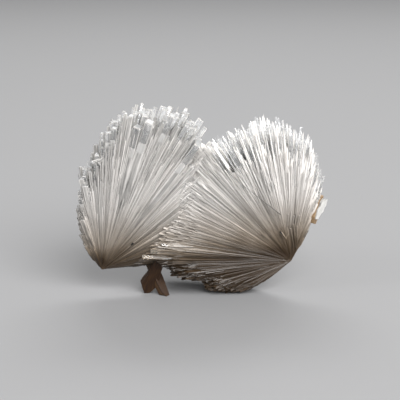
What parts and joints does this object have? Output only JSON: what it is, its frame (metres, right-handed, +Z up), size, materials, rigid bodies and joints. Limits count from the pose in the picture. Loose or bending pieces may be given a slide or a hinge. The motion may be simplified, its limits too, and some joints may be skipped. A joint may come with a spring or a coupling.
{
  "type": "scolecite mineral specimen",
  "caption": "Free-standing spray of slender clear crystals in two fans grown together, with small amber crystals under the middle and on one side.",
  "frame": {"origin": "under the middle of the specimen, on the surface that it rests on", "axes": "+Z up as it rests, +X along the two fans towards the finer one, -Y towards the front face"},
  "size_m": [0.0919, 0.0449, 0.0728],
  "materials": {
    "scolecite": "clear to silky white, vitreous",
    "stilbite": "amber brown, vitreous to pearly",
    "white_crystal": "white, pearly"
  },
  "bodies": {
    "root": {"scolecite_sprays": "scolecite", "stilbite_legs": "stilbite", "side_stilbite": "stilbite", "white_blade": "white_crystal"}
  },
  "joints": []
}
